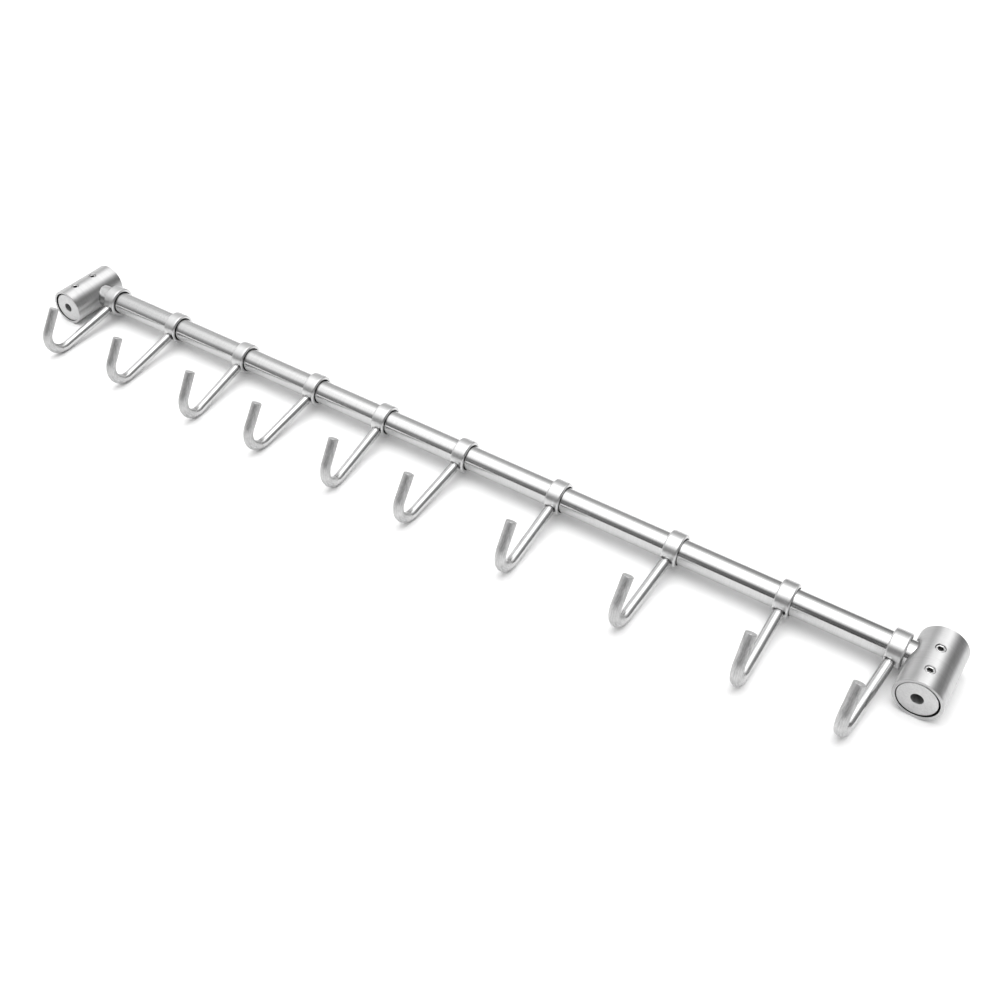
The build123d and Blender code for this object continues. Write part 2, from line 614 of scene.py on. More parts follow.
@dataclass(frozen=True)
class SteelFinish:
    """A stainless steel surface. Its metal keeps the default IOR.

    Attributes:
        name: the material's name.
        bright: sRGB colour of the metal where the tool left it clean.
        dull: sRGB colour of the metal in the bottom of the fine lines.
        smooth: lowest roughness.
        rough: highest roughness.
        stretch: how much a highlight is drawn out across the lines, from 0 to 1.
        grain: which way the lines run.
        line_spacing: distance between lines, in metres.
        line_length: length of a line, in metres.
        line_depth: depth of a line for the bump, in metres.
        cloud_size: size of the faint patches left by handling and cleaning, in metres.
        radius: radius of the round surface that the lines are on, in metres.
        matte_from: distance along from which the surface is matte, in metres, or None.
        matte_roughness: roughness of the matte stretch.
        matte_dull: sRGB colour of the metal in the bottom of the matte stretch's lines.
        matte_depth: depth of the matte stretch's lines for the bump, in metres.
        matte_fade: half the length over which the matte stretch sets in, in metres.
        matte_spread: difference between the roughest and the smoothest of the matte stretch.
    """

    name: str
    bright: str
    dull: str
    smooth: float
    rough: float
    stretch: float
    grain: Grain
    line_spacing: float
    line_length: float
    line_depth: float
    cloud_size: float
    radius: float
    matte_from: float | None = None
    matte_roughness: float = 0.4
    matte_dull: str = "#9c9c9c"
    matte_depth: float = 0.0
    matte_fade: float = 8 * MM
    matte_spread: float = 0.16

    def make(self) -> bpy.types.Material:
        """Builds the material.

        Returns:
            The finished material.
        """
        material = bpy.data.materials.new(self.name)
        material.use_nodes = True
        tree = material.node_tree
        tree.nodes.clear()
        lines, clouds, along = self._patterns(tree)
        patches = add_node(tree, "Math", {0: clouds, 1: 1 - LINE_SHARE}, operation="MULTIPLY")
        both = add_node(tree, "Math", {0: lines, 1: LINE_SHARE, 2: patches}, operation="MULTIPLY_ADD")
        levels = {"Value": both, "From Min": NOISE_RANGE[0], "From Max": NOISE_RANGE[1]}
        share = add_node(tree, "MapRange", levels)
        roughness = add_node(tree, "MapRange", {**levels, "To Min": self.rough, "To Max": self.smooth})
        bottom: bpy.types.NodeSocket | tuple = linear(self.dull)
        depth: bpy.types.Node | float = self.line_depth
        if self.matte_from is not None:
            onset = Fade(self.matte_from - self.matte_fade, self.matte_from + self.matte_fade)
            matte = onset.over(tree, along)
            smoothest = self.matte_roughness - self.matte_spread / 2
            dulled = add_node(
                tree, "Math", {0: lines, 1: self.matte_spread, 2: smoothest}, operation="MULTIPLY_ADD"
            )
            both_kinds = {"Factor": matte, "A": roughness, "B": dulled}
            roughness = add_node(tree, "Mix", both_kinds, data_type="FLOAT")
            colours = {6: linear(self.dull), 7: linear(self.matte_dull)}
            bottom = add_node(tree, "Mix", {"Factor": matte, **colours}, data_type="RGBA").outputs[2]
            depths = {"A": self.line_depth, "B": self.matte_depth}
            depth = add_node(tree, "Mix", {"Factor": matte, **depths}, data_type="FLOAT")
        colour = add_node(tree, "Mix", {"Factor": share, 6: bottom, 7: linear(self.bright)}, data_type="RGBA")
        shader = add_node(
            tree,
            "BsdfPrincipled",
            {
                "Base Color": colour.outputs[2],
                "Metallic": 1.0,
                "Roughness": roughness,
                "Anisotropic": self.stretch,
                "Anisotropic Rotation": QUARTER_TURN if self.grain is Grain.ALONG else 0.0,
                "Tangent": add_node(tree, "Tangent", direction_type="UV_MAP", uv_map=UV_NAME),
                "Normal": add_node(tree, "Bump", {"Height": lines, "Strength": 1.0, "Distance": depth}),
            },
        )
        add_node(tree, "OutputMaterial", {"Surface": shader})
        return material

    def _patterns(
        self, tree: bpy.types.NodeTree
    ) -> tuple[bpy.types.Node, bpy.types.Node, bpy.types.NodeSocket]:
        """Adds the fine lines and the faint patches.

        Args:
            tree: the material's node tree.

        Returns:
            The node of the lines, the node of the patches and the distance along the surface.
        """
        parts = add_node(tree, "SeparateXYZ", {0: add_node(tree, "UVMap", uv_map=UV_NAME)})
        angle = add_node(tree, "Math", {0: parts.outputs["Y"], 1: math.tau}, operation="MULTIPLY")
        cosine = add_node(tree, "Math", {0: angle}, operation="COSINE")
        sine = add_node(tree, "Math", {0: angle}, operation="SINE")
        step_along = self.line_length if self.grain is Grain.ALONG else self.line_spacing
        step_round = self.line_length if self.grain is Grain.ROUND else self.line_spacing
        scaled = {
            "X": (parts.outputs["X"], 1 / step_along),
            "Y": (cosine, self.radius / step_round),
            "Z": (sine, self.radius / step_round),
        }
        place = add_node(
            tree,
            "CombineXYZ",
            {
                axis: add_node(tree, "Math", {0: value, 1: scale}, operation="MULTIPLY")
                for axis, (value, scale) in scaled.items()
            },
        )
        lines = add_node(tree, "TexNoise", {"Vector": place, "Scale": 1.0, **LINE_NOISE})
        body = add_node(tree, "TexCoord").outputs["Object"]
        clouds = add_node(tree, "TexNoise", {"Vector": body, "Scale": 1 / self.cloud_size, **PATCH_NOISE})
        return lines, clouds, parts.outputs["X"]


# Ground and polished stainless tube: a crisp satin whose lines run round it, so highlights spread along it
RAIL_STEEL = SteelFinish(
    name="ground_stainless_tube",
    bright="#cbcbcb",
    dull="#bdbdbd",
    smooth=0.14,
    rough=0.2,
    stretch=0.92,
    grain=Grain.ROUND,
    line_spacing=0.35 * MM,
    line_length=14 * MM,
    line_depth=0.0006 * MM,
    cloud_size=30 * MM,
    radius=6 * MM,
)
# Turned stainless bar: the tool's fine rings round it give a broad satin highlight along it
BRACKET_STEEL = SteelFinish(
    name="turned_stainless_bar",
    bright="#d5d5d5",
    dull="#c3c3c3",
    smooth=0.42,
    rough=0.5,
    stretch=0.95,
    grain=Grain.ROUND,
    line_spacing=0.3 * MM,
    line_length=11 * MM,
    line_depth=0.001 * MM,
    cloud_size=12 * MM,
    radius=10 * MM,
)
# Blasted stainless disc: even and matte, with faint mottling
PLUG_STEEL = SteelFinish(
    name="blasted_stainless_disc",
    bright="#d4d4d4",
    dull="#c2c2c2",
    smooth=0.45,
    rough=0.6,
    stretch=0.0,
    grain=Grain.CLOUDED,
    line_spacing=0.7 * MM,
    line_length=0.7 * MM,
    line_depth=0.004 * MM,
    cloud_size=4 * MM,
    radius=6 * MM,
)
# Tumbled stainless ring: turned, then tumbled until its edges are soft
COLLAR_STEEL = SteelFinish(
    name="tumbled_stainless_ring",
    bright="#d6d6d6",
    dull="#c2c2c2",
    smooth=0.28,
    rough=0.38,
    stretch=0.2,
    grain=Grain.ROUND,
    line_spacing=0.3 * MM,
    line_length=6 * MM,
    line_depth=0.001 * MM,
    cloud_size=6 * MM,
    radius=8 * MM,
)
# Drawn stainless wire: bright on the straight leg, dulled by bending and tumbling from the bend on
WIRE_STEEL = SteelFinish(
    name="drawn_stainless_wire",
    bright="#d6d6d6",
    dull="#c0c0c0",
    smooth=0.09,
    rough=0.15,
    stretch=0.3,
    grain=Grain.ALONG,
    line_spacing=0.5 * MM,
    line_length=2.5 * MM,
    line_depth=0.003 * MM,
    cloud_size=5 * MM,
    radius=2.5 * MM,
    matte_from=40 * MM,
    matte_roughness=0.46,
    matte_dull="#969696",
    matte_depth=0.04 * MM,
)
# Fused steel at the weld: rough, and darkened by the heat
WELD_STEEL = SteelFinish(
    name="heat_darkened_weld",
    bright="#d0d0d0",
    dull="#646464",
    smooth=0.18,
    rough=0.4,
    stretch=0.0,
    grain=Grain.CLOUDED,
    line_spacing=0.7 * MM,
    line_length=0.7 * MM,
    line_depth=0.03 * MM,
    cloud_size=1.5 * MM,
    radius=2 * MM,
)
# Painted shade for a collar's bore and a bracket's pocket and side bore: a dark steel colour that stands in
# for the shade inside them
PAINTED_BORE_SHADE = SteelFinish(
    name="bore_painted_shade",
    bright="#5c5c5c",
    dull="#343434",
    smooth=0.4,
    rough=0.55,
    stretch=0.3,
    grain=Grain.ROUND,
    line_spacing=0.3 * MM,
    line_length=5 * MM,
    line_depth=0.004 * MM,
    cloud_size=3 * MM,
    radius=6 * MM,
)
# Stainless set screw: small bright machined faces
SCREW_STEEL = SteelFinish(
    name="machined_stainless_screw",
    bright="#d6d6d6",
    dull="#b0b0b0",
    smooth=0.2,
    rough=0.32,
    stretch=0.3,
    grain=Grain.ROUND,
    line_spacing=0.2 * MM,
    line_length=3 * MM,
    line_depth=0.001 * MM,
    cloud_size=2 * MM,
    radius=2 * MM,
)
# Painted shade on a set screw's socket walls: a dark steel colour that stands in for the shade deep in the
# socket
PAINTED_SOCKET_SHADE = SteelFinish(
    name="socket_wall_painted_shade",
    bright="#6a6a6a",
    dull="#383838",
    smooth=0.35,
    rough=0.5,
    stretch=0.0,
    grain=Grain.CLOUDED,
    line_spacing=0.4 * MM,
    line_length=0.4 * MM,
    line_depth=0.004 * MM,
    cloud_size=1.5 * MM,
    radius=1 * MM,
)


# Parts of the rack


@dataclass
class Rail:
    """The straight ground tube between the brackets.

    Attributes:
        radius: outside radius.
        wall: thickness of the tube.
        end_rounding: softened outer edge of each end.
        turns: faces once round.
    """

    radius: float = 6 * MM
    wall: float = 1 * MM
    end_rounding: float = 0.4 * MM
    turns: int = 160

    def build(self) -> bpy.types.Object:
        """Builds the tube over the CAD tube's length.

        Returns:
            The dressed tube.
        """
        low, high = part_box("rail_tube")
        length = high.x - low.x
        start = Vector((low.x, (low.y + high.y) / 2, (low.z + high.z) / 2))
        bore = self.radius - self.wall
        outline = Outline(
            (
                Corner(self.radius, length, self.end_rounding),
                Corner(self.radius, 0, self.end_rounding),
                Corner(bore, 0),
                Corner(bore, length),
            ),
            closed=True,
        )
        line = StraightLine(start, Vector((1, 0, 0)), Vector((0, 0, -1)))
        part = part_from(sweep("rail", line, outline, self.turns), "rail")
        dress(part, RAIL_STEEL.make())
        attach(part, "rack")
        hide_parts("rail_tube")
        return part


@dataclass
class Bracket:
    """A turned bracket with its pocket, side bore and two tapped holes.

    Attributes:
        side: which end of the rack it is on.
        radius: outside radius.
        length: how far it stands out from the wall.
        rim: wall thickness round the pocket.
        pocket_depth: depth of the pocket for the wall plug.
        rail_from_wall: height of the rail's axis above the wall.
        bore_radius: radius of the side bore for the rail.
        bore_end: distance of the bore's flat end past the bracket's axis.
        screws_from_wall: height of each tapped hole above the wall.
        tap_radius: radius of a tapped hole.
        tap_countersink: width of the countersink round a tapped hole.
        outer_rounding: softened edge of the outer end.
        rim_rounding: softened edges of the rim.
        turns: faces once round.
    """

    side: Side
    radius: float = 10 * MM
    length: float = 34 * MM
    rim: float = 1.35 * MM
    pocket_depth: float = 13.6 * MM
    rail_from_wall: float = 21.5 * MM
    bore_radius: float = 6.1 * MM
    bore_end: float = 4.4 * MM
    screws_from_wall: tuple[float, float] = (8.3 * MM, 21.5 * MM)
    tap_radius: float = 2.12 * MM
    tap_countersink: float = 0.3 * MM
    outer_rounding: float = 0.6 * MM
    rim_rounding: float = 0.35 * MM
    turns: int = 192

    @property
    def node(self) -> str:
        """The CAD node that this piece stands for."""
        return f"{self.side.label}_bracket"

    @property
    def line(self) -> StraightLine:
        """The turning axis, running out from the wall."""
        low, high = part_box(self.node)
        start = Vector(((low.x + high.x) / 2, 0, (low.z + high.z) / 2))
        return StraightLine(start, Vector((0, 1, 0)), Vector((0, 0, -1)))

    def build(self) -> bpy.types.Object:
        """Turns the bar, then bores and taps it.

        Returns:
            The dressed bracket.
        """
        pocket = self.radius - self.rim
        outline = Outline(
            (
                Corner(0, self.pocket_depth),
                Corner(pocket, self.pocket_depth),
                Corner(pocket, 0, self.rim_rounding / 2),
                Corner(self.radius, 0, self.rim_rounding),
                Corner(self.radius, self.length, self.outer_rounding),
                Corner(0, self.length),
            )
        )
        line = self.line
        part = part_from(sweep(self.node, line, outline, self.turns), f"bracket_{self.side.label}")
        axis_point = line.start
        bore_axis = StraightLine(
            axis_point + Vector((-self.side.value * self.bore_end, self.rail_from_wall, 0)),
            Vector((self.side.value, 0, 0)),
            Vector((0, 0, -1)),
        )
        reach = self.bore_end + 2 * self.radius
        cutters = [sweep("bore", bore_axis, cylinder_outline(self.bore_radius, reach), BORE_TURNS)]
        walls = [(line, self.radius, True), (line, pocket, False), (bore_axis, self.bore_radius, False)]
        for height in self.screws_from_wall:
            tap_axis = StraightLine(axis_point + Vector((0, height, 0)), Vector((0, 0, 1)), Vector((1, 0, 0)))
            cutters.append(sweep("tap", tap_axis, self._tap_outline(), CUTTER_TURNS))
            walls.append((tap_axis, self.tap_radius, False))
        carve(part, cutters)
        resurface(part, line, walls)
        # The walls of the pocket and the side bore get the painted shade as their second material
        dress(part, BRACKET_STEEL.make(), PAINTED_BORE_SHADE.make())
        inner_end = self.length - self.outer_rounding

        def in_pocket_or_bore(point: Vector) -> bool:
            """Whether a point lies on a wall of the pocket or the side bore, where shade is painted."""
            depth_held = self.rim_rounding < point.y < inner_end
            return depth_held and (point - axis_point).xz.length < pocket + SURFACE_SLACK

        darken(part, in_pocket_or_bore)
        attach(part, "rack")
        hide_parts(self.node)
        return part

    def _tap_outline(self) -> Outline:
        """The outline of a tapped hole with its countersink, from the bracket's axis out through its top."""
        mouth = self.radius - self.tap_countersink
        wide = self.tap_radius + 2 * self.tap_countersink
        return Outline(
            (
                Corner(0, 0),
                Corner(self.tap_radius, 0),
                Corner(self.tap_radius, mouth),
                Corner(wide, mouth + 2 * self.tap_countersink),
                Corner(wide, self.radius + TAP_REACH),
                Corner(0, self.radius + TAP_REACH),
            )
        )


@dataclass
class WallPlug:
    """The disc in a bracket's wall end that the wall screw goes through.

    Attributes:
        side: which end of the rack it is on.
        radius: outside radius.
        hole_radius: radius of the screw hole.
        seat_radius: radius of the hidden seat for the screw's head.
        seat_depth: depth of that seat.
        edge_rounding: softened outer edges.
        hole_rounding: softened mouth of the hole.
        slip: how far it has sunk down and towards the rail, inside the pocket's clearance.
        turns: faces once round.
    """

    side: Side
    radius: float = 8.2 * MM
    hole_radius: float = 2.5 * MM
    seat_radius: float = 4.8 * MM
    seat_depth: float = 5 * MM
    edge_rounding: float = 0.35 * MM
    hole_rounding: float = 0.3 * MM
    slip: float = 0.28 * MM
    turns: int = 128

    def build(self) -> bpy.types.Object:
        """Turns the disc where the CAD disc stands.

        Returns:
            The dressed disc.
        """
        node = f"{self.side.label}_wall_plug"
        low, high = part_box(node)
        depth = high.y - low.y
        towards_rail = self.side.value * self.slip
        middle = Vector(((low.x + high.x) / 2 + towards_rail, low.y, (low.z + high.z) / 2 - self.slip))
        line = StraightLine(middle, Vector((0, 1, 0)), Vector((0, 0, -1)))
        outline = Outline(
            (
                Corner(self.hole_radius, 0, self.hole_rounding),
                Corner(self.radius, 0, self.edge_rounding),
                Corner(self.radius, depth, self.edge_rounding),
                Corner(self.seat_radius, depth),
                Corner(self.seat_radius, depth - self.seat_depth),
                Corner(self.hole_radius, depth - self.seat_depth),
            ),
            closed=True,
        )
        part = part_from(sweep(node, line, outline, self.turns), f"plug_{self.side.label}")
        dress(part, PLUG_STEEL.make())
        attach(part, "rack")
        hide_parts(node)
        return part


@dataclass
class SetScrew:
    """A set screw with a hexagon socket.

    Attributes:
        side: which end of the rack it is on.
        use: what it clamps, as the CAD node names it.
        radius: outside radius.
        top_rounding: softened edge of the top.
        socket_width: width of the socket across its flats.
        socket_depth: depth of the socket.
        drill_point: depth of the drill's point under the socket.
        lead_in: width of the chamfer round the socket's mouth.
        tip_radius: radius of the flat point.
        turns: faces once round.
    """

    side: Side
    use: str
    radius: float = 2 * MM
    top_rounding: float = 0.3 * MM
    socket_width: float = 2.2 * MM
    socket_depth: float = 1.8 * MM
    drill_point: float = 0.5 * MM
    lead_in: float = 0.15 * MM
    tip_radius: float = 1 * MM
    turns: int = 72

    def build(self) -> bpy.types.Object:
        """Turns the screw where the CAD screw stands and presses its socket.

        Returns:
            The dressed screw.
        """
        node = f"{self.side.label}_{self.use}_set_screw"
        low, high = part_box(node)
        length = high.z - low.z
        start = Vector(((low.x + high.x) / 2, (low.y + high.y) / 2, low.z))
        line = StraightLine(start, Vector((0, 0, 1)), Vector((1, 0, 0)))
        outline = Outline(
            (
                Corner(0, 0),
                Corner(self.tip_radius, 0),
                Corner(self.radius, self.radius - self.tip_radius),
                Corner(self.radius, length, self.top_rounding),
                Corner(0, length),
            )
        )
        part = part_from(sweep(node, line, outline, self.turns), f"set_screw_{self.use}_{self.side.label}")
        corner_radius = self.socket_width / 2 / math.cos(math.pi / 6)
        socket_floor = line.start + line.ahead * (length - self.socket_depth)
        socket_line = StraightLine(socket_floor, line.ahead, line.side)
        socket = Outline(
            (
                Corner(0, -self.drill_point),
                Corner(corner_radius, 0),
                Corner(corner_radius, self.socket_depth - self.lead_in),
                Corner(corner_radius + 2 * self.lead_in, self.socket_depth + self.lead_in),
                Corner(0, self.socket_depth + self.lead_in),
            )
        )
        carve(part, [sweep("socket", socket_line, socket, 6)])
        resurface(part, line, [(line, self.radius, True)])
        # The socket's walls get the painted shade as their second material
        dress(part, SCREW_STEEL.make(), PAINTED_SOCKET_SHADE.make())
        lowest = high.z - self.socket_depth + SURFACE_SLACK
        highest = high.z - self.lead_in / 2

        def on_socket_wall(point: Vector) -> bool:
            """Whether a point lies on one of the socket's six walls, between its floor and its mouth, where
            shade is painted.
            """
            return lowest < point.z < highest and (point - line.start).xy.length < corner_radius * WALL_SHARE

        darken(part, on_socket_wall)
        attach(part, "rack")
        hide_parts(node)
        return part


@dataclass
class Hook:
    """A collar with its bent wire and the weld between them. All of it slides and turns as one.

    Attributes:
        number: the hook's number, from 1 at the left end.
        lean: how far the wire leans from square to the rail, in degrees.
        collar_radius: outside radius of the collar.
        collar_bore: radius of its bore.
        collar_rounding: softened outer edges.
        bore_rounding: softened edges of the bore.
        seat_radius: radius of the flat seat that the wire is welded in.
        seat_depth: depth of that seat.
        wire_radius: radius of the wire.
        neck_radius: radius of the weld's neck.
        neck_length: length of the neck, from the collar's surface to the wire's end.
        leg: distance from the rail's axis to the bend.
        bend_radius: radius of the bend's centre line.
        bend_angle: how far the wire turns, in degrees.
        tip: length of the straight tip.
        tip_rounding: softened edge of the tip's end.
        lying_gap: gap between the bend and the floor.
        floor_depth: height of the rail's axis over the floor.
        weld_rise: how far the weld's bead runs up the wire's end.
        weld_spread: how far the bead stands out from the neck, at its top and at its foot.
        weld_rounding: softened top of the bead.
        lump_size: width of the bead's lumps.
        lump_height: height of the lumps.
        turns: faces once round the wire.
        collar_turns: faces once round the collar.
    """

    number: int
    lean: float
    collar_radius: float = 8 * MM
    collar_bore: float = 6.45 * MM
    collar_rounding: float = 0.8 * MM
    bore_rounding: float = 0.25 * MM
    seat_radius: float = 3.05 * MM
    seat_depth: float = 0.25 * MM
    wire_radius: float = 2.5 * MM
    neck_radius: float = 1.9 * MM
    neck_length: float = 0.5 * MM
    leg: float = 40.5 * MM
    bend_radius: float = 10 * MM
    bend_angle: float = 132.0
    tip: float = 12.7 * MM
    tip_rounding: float = 0.25 * MM
    lying_gap: float = 0.05 * MM
    floor_depth: float = 10 * MM
    weld_rise: float = 0.35 * MM
    weld_spread: tuple[float, float] = (0.1 * MM, 0.3 * MM)
    weld_rounding: float = 0.2 * MM
    lump_size: float = 0.9 * MM
    lump_height: float = 0.3 * MM
    turns: int = 56
    collar_turns: int = 144
    pieces: list[bpy.types.Object] = field(default_factory=list)

    @property
    def body(self) -> str:
        """The CAD body that slides and turns with the wire."""
        return f"wire_{self.number:02d}"

    @property
    def centre(self) -> Vector:
        """The collar's centre, on the rail's axis."""
        low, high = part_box(f"collar_{self.number:02d}")
        return (low + high) / 2

    @property
    def line(self) -> HookLine:
        """The wire's centre line, from the rail's axis."""
        drop = self.floor_depth - self.lying_gap - self.bend_radius - self.wire_radius
        slope = math.asin(drop / math.hypot(self.leg, self.bend_radius))
        slope += math.atan2(self.bend_radius, self.leg)
        lean = math.radians(self.lean)
        forward = Vector((math.sin(lean), -math.cos(lean), 0))
        upward = Vector((0, 0, 1))
        ahead = forward * math.cos(slope) - upward * math.sin(slope)
        inward = forward * math.sin(slope) + upward * math.cos(slope)
        return HookLine(self.centre, ahead, inward, self.leg, self.bend_radius, math.radians(self.bend_angle))

    def build(
        self,
        collar: bpy.types.Material,
        bore: bpy.types.Material,
        wire: bpy.types.Material,
        weld: bpy.types.Material,
    ) -> None:
        """Builds the collar, the wire and the weld.

        Args:
            collar: the collar's material.
            bore: the painted shade material of the collar's bore.
            wire: the wire's material.
            weld: the weld's material.
        """
        self.pieces.append(self._collar(collar, bore))
        self.pieces.append(self._wire(wire))
        self.pieces.append(self._weld(weld))
        for piece in self.pieces:
            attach(piece, self.body)

    def _collar(self, material: bpy.types.Material, bore: bpy.types.Material) -> bpy.types.Object:
        """Turns the collar, cuts the flat seat for the wire and paints shade into its bore."""
        node = f"collar_{self.number:02d}"
        low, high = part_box(node)
        half = (high.x - low.x) / 2
        line = StraightLine(self.centre, Vector((1, 0, 0)), Vector((0, 0, 1)))
        outline = Outline(
            (
                Corner(self.collar_radius, half, self.collar_rounding),
                Corner(self.collar_radius, -half, self.collar_rounding),
                Corner(self.collar_bore, -half, self.bore_rounding),
                Corner(self.collar_bore, half, self.bore_rounding),
            ),
            closed=True,
        )
        part = part_from(sweep(node, line, outline, self.collar_turns), f"hook_collar_{self.number:02d}")
        wire_line = self.line
        seat_start = wire_line.at(self.collar_radius - self.seat_depth)
        seat_line = StraightLine(seat_start.point, seat_start.ahead, seat_start.side)
        carve(part, [sweep("seat", seat_line, cylinder_outline(self.seat_radius, SEAT_REACH), CUTTER_TURNS)])
        resurface(part, line, [(line, self.collar_radius, True), (line, self.collar_bore, False)])
        # The collar's bore gets painted shade, a dark steel colour that stands in for the shade between
        # collar and rail
        dress(part, material, bore)
        bore_reach = self.collar_bore + self.bore_rounding / 2
        darken(part, lambda point: (point - line.start).yz.length < bore_reach)
        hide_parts(node)
        return part

    def _wire(self, material: bpy.types.Material) -> bpy.types.Object:
        """Sweeps the wire from its weld to its tip."""
        node = f"hook_{self.number:02d}"
        line = self.line
        end = line.bend_end + self.tip
        start = self.collar_radius + self.neck_length
        chamfer = self.wire_radius - self.neck_radius
        outline = Outline(
            (
                Corner(0, start),
                Corner(self.neck_radius, start),
                Corner(self.wire_radius, start + chamfer, 0.1 * MM),
                Corner(self.wire_radius, end, self.tip_rounding),
                Corner(0, end),
            )
        )
        part = part_from(sweep(node, line, outline, self.turns), f"hook_wire_{self.number:02d}")
        dress(part, material)
        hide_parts(node)
        return part

    def _weld(self, material: bpy.types.Material) -> bpy.types.Object:
        """Builds the lumpy ring of fused steel round the neck."""
        line = self.line
        bottom = self.collar_radius - self.seat_depth - FUSED_DEPTH
        top = self.collar_radius + self.neck_length + self.weld_rise
        top_radius, foot_radius = (self.neck_radius + spread for spread in self.weld_spread)
        outline = Outline(
            (
                Corner(0, top),
                Corner(top_radius, top, self.weld_rounding),
                Corner(foot_radius, bottom),
                Corner(0, bottom),
            )
        )
        seed = Vector((self.number * WELD_STEP, 0, 0))

        def lumps(angle: float, along: float) -> float:
            """The weld's unevenness at an angle and a height."""
            place = Vector((math.cos(angle), math.sin(angle), along / self.lump_size))
            place *= self.neck_radius / self.lump_size
            return noise.noise(place + seed) * self.lump_height

        part = part_from(sweep("weld", line, outline, WELD_TURNS, lumps), f"hook_weld_{self.number:02d}")
        dress(part, material)
        return part


# Studio


@dataclass
class Studio:
    """The pale floor, the soft light and the camera.

    Attributes:
        camera_place: where the camera stands.
        camera_turn: the camera's turn about X, Y and Z, in degrees.
        focal_length: focal length on a sensor of the width below, in millimetres.
        sensor_width: width of the sensor, in millimetres.
        shift: how far the frame is moved from the lens axis, in frame widths.
        clip: nearest and furthest distance that the camera sees.
        floor_half_width: half the floor's width.
        floor_seen: the floor's brightness where the camera or a mirroring piece sees it.
        floor_lighting: its brightness where it only lights the rack.
        box_strength: brightness of the large soft box.
        box_back: the soft box's edge behind the rack, by the tilt from overhead towards the camera.
        box_front: its edge on the camera's side.
        box_turn: how much further back its back edge lies towards the right.
        box_centre: sideways place of the box's middle.
        box_width: the box's fade to both sides of its middle.
        left_edge: sideways place past which the box's edges lie nearer the camera.
        left_wall: glow of the wall at the left, by the sideways place.
        left_gain: how much brighter that wall gets past the left edge.
        left_depth: how the left wall brightens towards the back, and its brightness abreast.
        right_wall: glow of the whole room, rising towards the wall at the right.
        end_wall: glow at the far left end.
        back_gain: how the room brightens towards the back.
        low_room: how the room darkens towards the floor, by the height of the direction.
        overhead: extra glow straight overhead.
    """

    camera_place: tuple[float, float, float] = (0.26618, -0.37142, 0.39851)
    camera_turn: tuple[float, float, float] = (52.357, 0.820, 35.850)
    focal_length: float = 45.585
    sensor_width: float = 36.0
    shift: tuple[float, float] = (0.1032, -0.1096)
    clip: tuple[float, float] = (0.01, 50.0)
    floor_half_width: float = 8.0
    floor_seen: float = 1.0
    floor_lighting: float = 0.8
    box_strength: float = 1.76
    box_back: Fade = Fade(math.radians(-56), math.radians(-6))
    box_front: Fade = Fade(math.radians(62), math.radians(30))
    box_turn: Fade = Fade(-0.1, 0.12, 0.0, math.radians(30))
    box_centre: float = -0.04
    box_width: Fade = Fade(0.78, 0.23)
    left_edge: float = -0.4
    left_wall: Fade = Fade(-0.05, -0.35, 0.0, 0.42)
    left_gain: float = 1.1
    left_depth: tuple[float, float] = (0.27, 0.68)
    right_wall: Fade = Fade(0.3, 0.8, 0.22, 0.29)
    end_wall: Fade = Fade(-0.72, -0.9, 0.0, 0.45)
    back_gain: float = 0.1
    low_room: Fade = Fade(0.0, 0.4, 0.62, 1.0)
    overhead: Fade = Fade(0.88, 0.97, 0.0, 1.3)

    def build(self, floor_height: float) -> None:
        """Sets up everything round the rack.

        Args:
            floor_height: height of the surface that the rack lies on.
        """
        self._camera()
        self._floor(floor_height)
        self._world()
        bpy.context.scene.view_settings.view_transform = "Standard"

    def _camera(self) -> None:
        """Puts the camera where the photograph was taken from."""
        data = bpy.data.cameras.new("camera")
        data.lens, data.sensor_width = self.focal_length, self.sensor_width
        data.shift_x, data.shift_y = self.shift
        data.clip_start, data.clip_end = self.clip
        camera = bpy.data.objects.new("camera", data)
        camera.location = self.camera_place
        camera.rotation_euler = [math.radians(angle) for angle in self.camera_turn]
        bpy.context.scene.collection.objects.link(camera)
        bpy.context.scene.camera = camera

    def _floor(self, height: float) -> None:
        """Lays the pale floor."""
        half = self.floor_half_width
        mesh = bpy.data.meshes.new("floor")
        corners = [(-half, -half), (half, -half), (half, half), (-half, half)]
        mesh.from_pydata([(x, y, height) for x, y in corners], [], [(0, 1, 2, 3)])
        floor = part_from(mesh, "floor")
        material = bpy.data.materials.new("white_paper_sweep")
        material.use_nodes = True
        tree = material.node_tree
        tree.nodes.clear()
        rays = add_node(tree, "LightPath")
        seen: bpy.types.NodeSocket | bpy.types.Node = rays.outputs["Is Camera Ray"]
        for kind in ("Is Glossy Ray", "Is Transmission Ray"):
            seen = add_node(tree, "Math", {0: seen, 1: rays.outputs[kind]}, operation="MAXIMUM")
        lighting, shown = (
            add_node(tree, "BsdfDiffuse", {"Color": (level, level, level, 1)})
            for level in (self.floor_lighting, self.floor_seen)
        )
        mixed = add_node(tree, "MixShader", {0: seen, 1: lighting, 2: shown})
        add_node(tree, "OutputMaterial", {"Surface": mixed})
        mesh.materials.append(material)
        floor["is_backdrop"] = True

    def _world(self) -> None:
        """Lights the scene like a studio: a large soft box overhead in a dim room with paler walls.

        Every part of the light is a brightness by the direction it comes from, whose tilt is the angle from
        straight overhead towards the camera.
        """
        world = bpy.data.worlds.new("studio")
        world.use_nodes = True
        bpy.context.scene.world = world
        tree = world.node_tree
        tree.nodes.clear()

        def sums(operation: str, *values: bpy.types.NodeSocket | bpy.types.Node | float) -> bpy.types.Node:
            """One step of arithmetic on values and nodes."""
            return add_node(tree, "Math", dict(enumerate(values)), operation=operation)

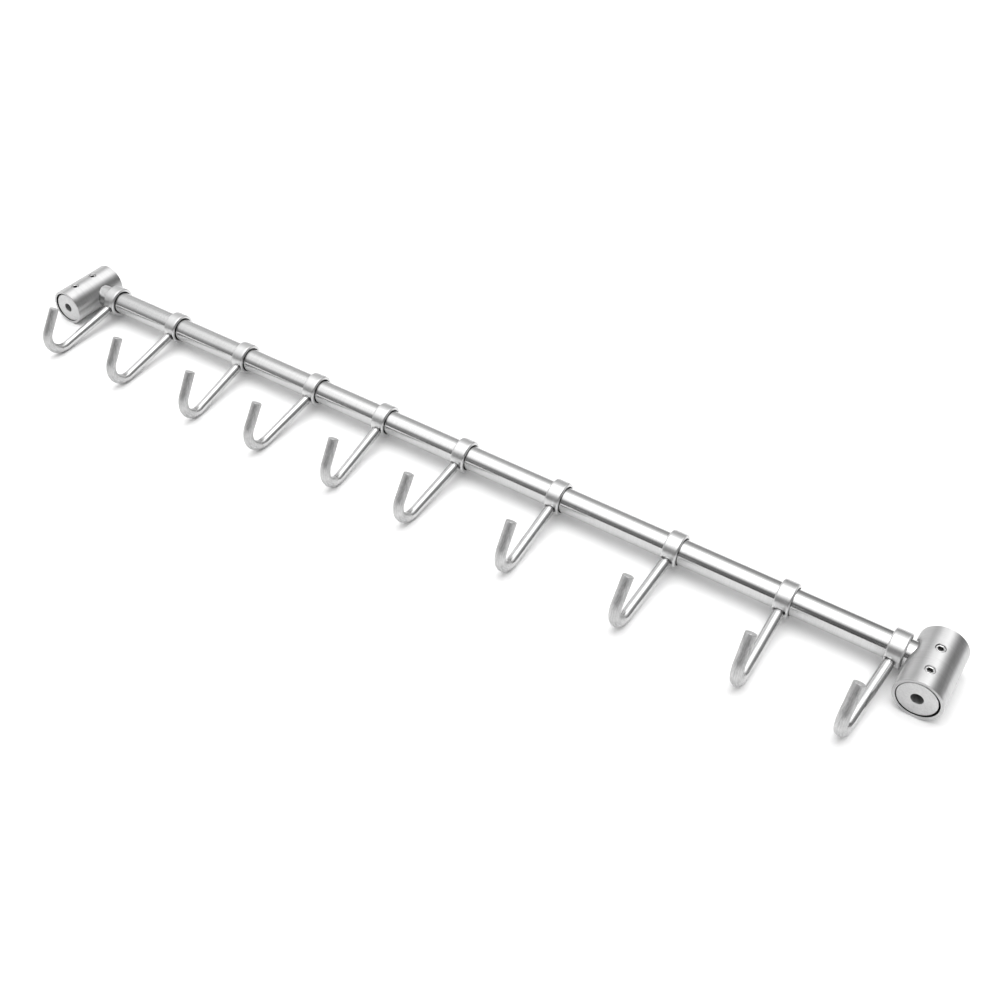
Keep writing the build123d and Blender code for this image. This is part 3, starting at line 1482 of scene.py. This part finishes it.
        parts = add_node(tree, "SeparateXYZ", {0: add_node(tree, "TexCoord").outputs["Generated"]})
        x, y, z = (parts.outputs[axis] for axis in "XYZ")
        past_left = sums("MINIMUM", sums("ADD", x, -self.left_edge), 0.0)
        tilt = sums("ADD", sums("ARCTAN2", sums("MULTIPLY", y, -1.0), z), past_left)
        back = self.box_back.over(tree, sums("ADD", tilt, self.box_turn.over(tree, x)))
        sideways = sums("ABSOLUTE", sums("ADD", x, -self.box_centre))
        box = sums("MULTIPLY", back, self.box_front.over(tree, tilt))
        box = sums("MULTIPLY", box, self.box_width.over(tree, sideways))
        left = sums("MULTIPLY_ADD", past_left, -self.left_gain, self.left_wall.over(tree, x))
        walls = sums("ADD", self.right_wall.over(tree, x), self.end_wall.over(tree, x))
        room = sums("MULTIPLY_ADD", y, self.back_gain, walls)
        room = sums("MULTIPLY_ADD", left, sums("MULTIPLY_ADD", y, *self.left_depth), room)
        room = sums("MULTIPLY", room, self.low_room.over(tree, z))
        room = sums("ADD", room, self.overhead.over(tree, z))
        total = sums("MULTIPLY_ADD", box, self.box_strength, room)
        shade = add_node(tree, "CombineColor", {0: total, 1: total, 2: total})
        add_node(tree, "OutputWorld", {"Surface": add_node(tree, "Background", {"Color": shade})})


@dataclass
class CoatRack:
    """The whole rack.

    Attributes:
        hook_leans: how far each hook's wire leans from square to the rail, in degrees, from the left.
    """

    hook_leans: tuple[float, ...] = (-0.5, 1.5, 4, -1.5, 3, -2.5, 0.5, -3, 0, -5.5)

    def build(self) -> Iterator[bpy.types.Object]:
        """Builds the rack's pieces one after the other.

        Yields:
            Each finished piece.
        """
        yield Rail().build()
        for side in Side:
            yield Bracket(side).build()
            yield WallPlug(side).build()
            for use in ("plug", "rail"):
                yield SetScrew(side, use).build()
        # The second of these is the painted shade for the collars' bores
        steels = [finish.make() for finish in (COLLAR_STEEL, PAINTED_BORE_SHADE, WIRE_STEEL, WELD_STEEL)]
        for index, lean in enumerate(self.hook_leans):
            hook = Hook(index + 1, lean)
            hook.build(*steels)
            yield from hook.pieces


def main() -> None:
    """Loads the frame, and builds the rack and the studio."""
    logging.basicConfig(level=logging.INFO, format="%(name)s: %(message)s")
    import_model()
    frame_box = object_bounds()
    for piece in CoatRack().build():
        log.info("%s: %d faces", piece.name, len(piece.data.polygons))
    Studio().build(floor_height=frame_box[0].z)


if __name__ == "__main__":
    main()
